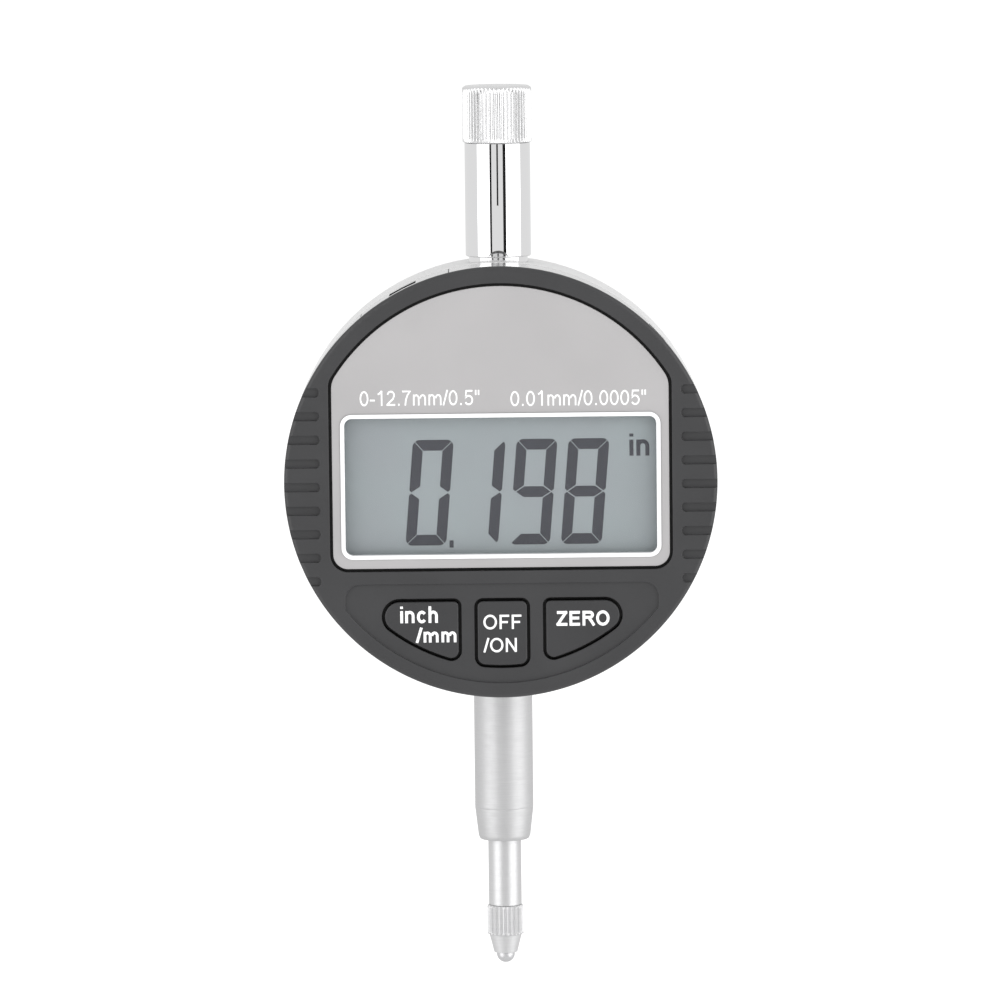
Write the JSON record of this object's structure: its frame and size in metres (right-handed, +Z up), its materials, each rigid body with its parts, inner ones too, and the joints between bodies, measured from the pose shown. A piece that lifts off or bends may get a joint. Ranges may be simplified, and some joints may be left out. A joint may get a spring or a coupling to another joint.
{
  "type": "dial indicator",
  "caption": "Round digital dial indicator with a display window, push buttons, plain clamping stem, spring-loaded spindle with a ball tip, knurled dust cap and lug back.",
  "frame": {"origin": "on the spindle axis, at the middle of the stem's 17 mm clamping length", "axes": "+Z up the spindle axis away from the tip, the dial faces -Y, +X at the dial's right"},
  "size_m": [0.0582, 0.0365, 0.1206],
  "materials": {
    "front_bezel": "fine moulded satin",
    "face_plate": "smooth printed plate",
    "window_frame": "bright bead",
    "window_lens": "clear window",
    "lcd_panel": "display glass and polariser",
    "lcd_holder": "moulded",
    "zebra_strip_upper": "layered elastomer",
    "zebra_strip_lower": "layered elastomer",
    "main_board": "solder mask",
    "controller_chip": "epoxy glob",
    "board_screws": "zinc plated",
    "switch_left": "moulded",
    "switch_middle": "moulded",
    "switch_right": "moulded",
    "battery_contact_positive": "spring leaf",
    "battery_contact_negative": "spring leaf",
    "port_contacts": "plated pads",
    "unit_button": "satin",
    "power_button": "satin",
    "zero_button": "satin",
    "case_ring": "satin",
    "case_gasket": "flat ring",
    "front_screws": "zinc plated",
    "rear_case": "satin",
    "back_cover": "satin",
    "back_screws": "zinc plated",
    "battery_drawer": "moulded",
    "drawer_door": "satin",
    "battery_cell": "plated steel can",
    "port_cover": "soft plug",
    "stem": "ground",
    "lower_bush": "turned",
    "upper_tube": "polished",
    "upper_bush": "turned",
    "dust_cap": "straight knurl",
    "guide_rod": "ground",
    "stop_washer": "soft washer",
    "return_spring": "drawn wire",
    "spindle": "ground",
    "contact_point": "straight knurl and turned cone",
    "contact_ball": "lapped ball",
    "spindle_carrier": "milled",
    "carrier_screw": "black oxide",
    "scale_strip": "etched strip on laminate",
    "lift_head": "turned"
  },
  "bodies": {
    "case": {"front_bezel": "front_bezel", "face_plate": "face_plate", "window_frame": "window_frame", "window_lens": "window_lens", "lcd_panel": "lcd_panel", "lcd_holder": "lcd_holder", "zebra_strip_upper": "zebra_strip_upper", "zebra_strip_lower": "zebra_strip_lower", "main_board": "main_board", "controller_chip": "controller_chip", "board_screws": "board_screws", "switch_left": "switch_left", "switch_middle": "switch_middle", "switch_right": "switch_right", "battery_contact_positive": "battery_contact_positive", "battery_contact_negative": "battery_contact_negative", "port_contacts": "port_contacts", "case_ring": "case_ring", "case_gasket": "case_gasket", "front_screws": "front_screws", "rear_case": "rear_case", "back_cover": "back_cover", "back_screws": "back_screws", "stem": "stem", "lower_bush": "lower_bush", "upper_tube": "upper_tube", "upper_bush": "upper_bush", "guide_rod": "guide_rod", "stop_washer": "stop_washer", "return_spring": "return_spring"},
    "spindle": {"spindle": "spindle", "contact_point": "contact_point", "contact_ball": "contact_ball", "spindle_carrier": "spindle_carrier", "carrier_screw": "carrier_screw", "scale_strip": "scale_strip", "lift_head": "lift_head"},
    "unit_button": {"unit_button": "unit_button"},
    "power_button": {"power_button": "power_button"},
    "zero_button": {"zero_button": "zero_button"},
    "battery_drawer": {"battery_drawer": "battery_drawer", "drawer_door": "drawer_door", "battery_cell": "battery_cell"},
    "port_cover": {"port_cover": "port_cover"},
    "dust_cap": {"dust_cap": "dust_cap"}
  },
  "joints": [
    {"name": "spindle_slide", "type": "slide", "parent": "case", "child": "spindle", "axis": [0, 0, 1], "range_m": [0, 0.0127], "stiffness_N_per_m": 40, "springref_m": -0.03, "deforming": ["return_spring"]},
    {"name": "unit_press", "type": "slide", "parent": "case", "child": "unit_button", "axis": [0, 1, 0], "range_m": [0, 0.00035], "stiffness_N_per_m": 1500, "springref_m": -0.0003},
    {"name": "power_press", "type": "slide", "parent": "case", "child": "power_button", "axis": [0, 1, 0], "range_m": [0, 0.00035], "stiffness_N_per_m": 1500, "springref_m": -0.0003},
    {"name": "zero_press", "type": "slide", "parent": "case", "child": "zero_button", "axis": [0, 1, 0], "range_m": [0, 0.00035], "stiffness_N_per_m": 1500, "springref_m": -0.0003},
    {"name": "drawer_slide", "type": "slide", "parent": "case", "child": "battery_drawer", "axis": [-0.4501, 0, 0.893], "range_m": [0, 0.015]},
    {"name": "port_cover_pull", "type": "slide", "parent": "case", "child": "port_cover", "axis": [0.7379, 0, 0.6749], "range_m": [0, 0.004]},
    {"name": "cap_lift", "type": "slide", "parent": "case", "child": "dust_cap", "axis": [0, 0, 1], "range_m": [0, 0.008]}
  ]
}
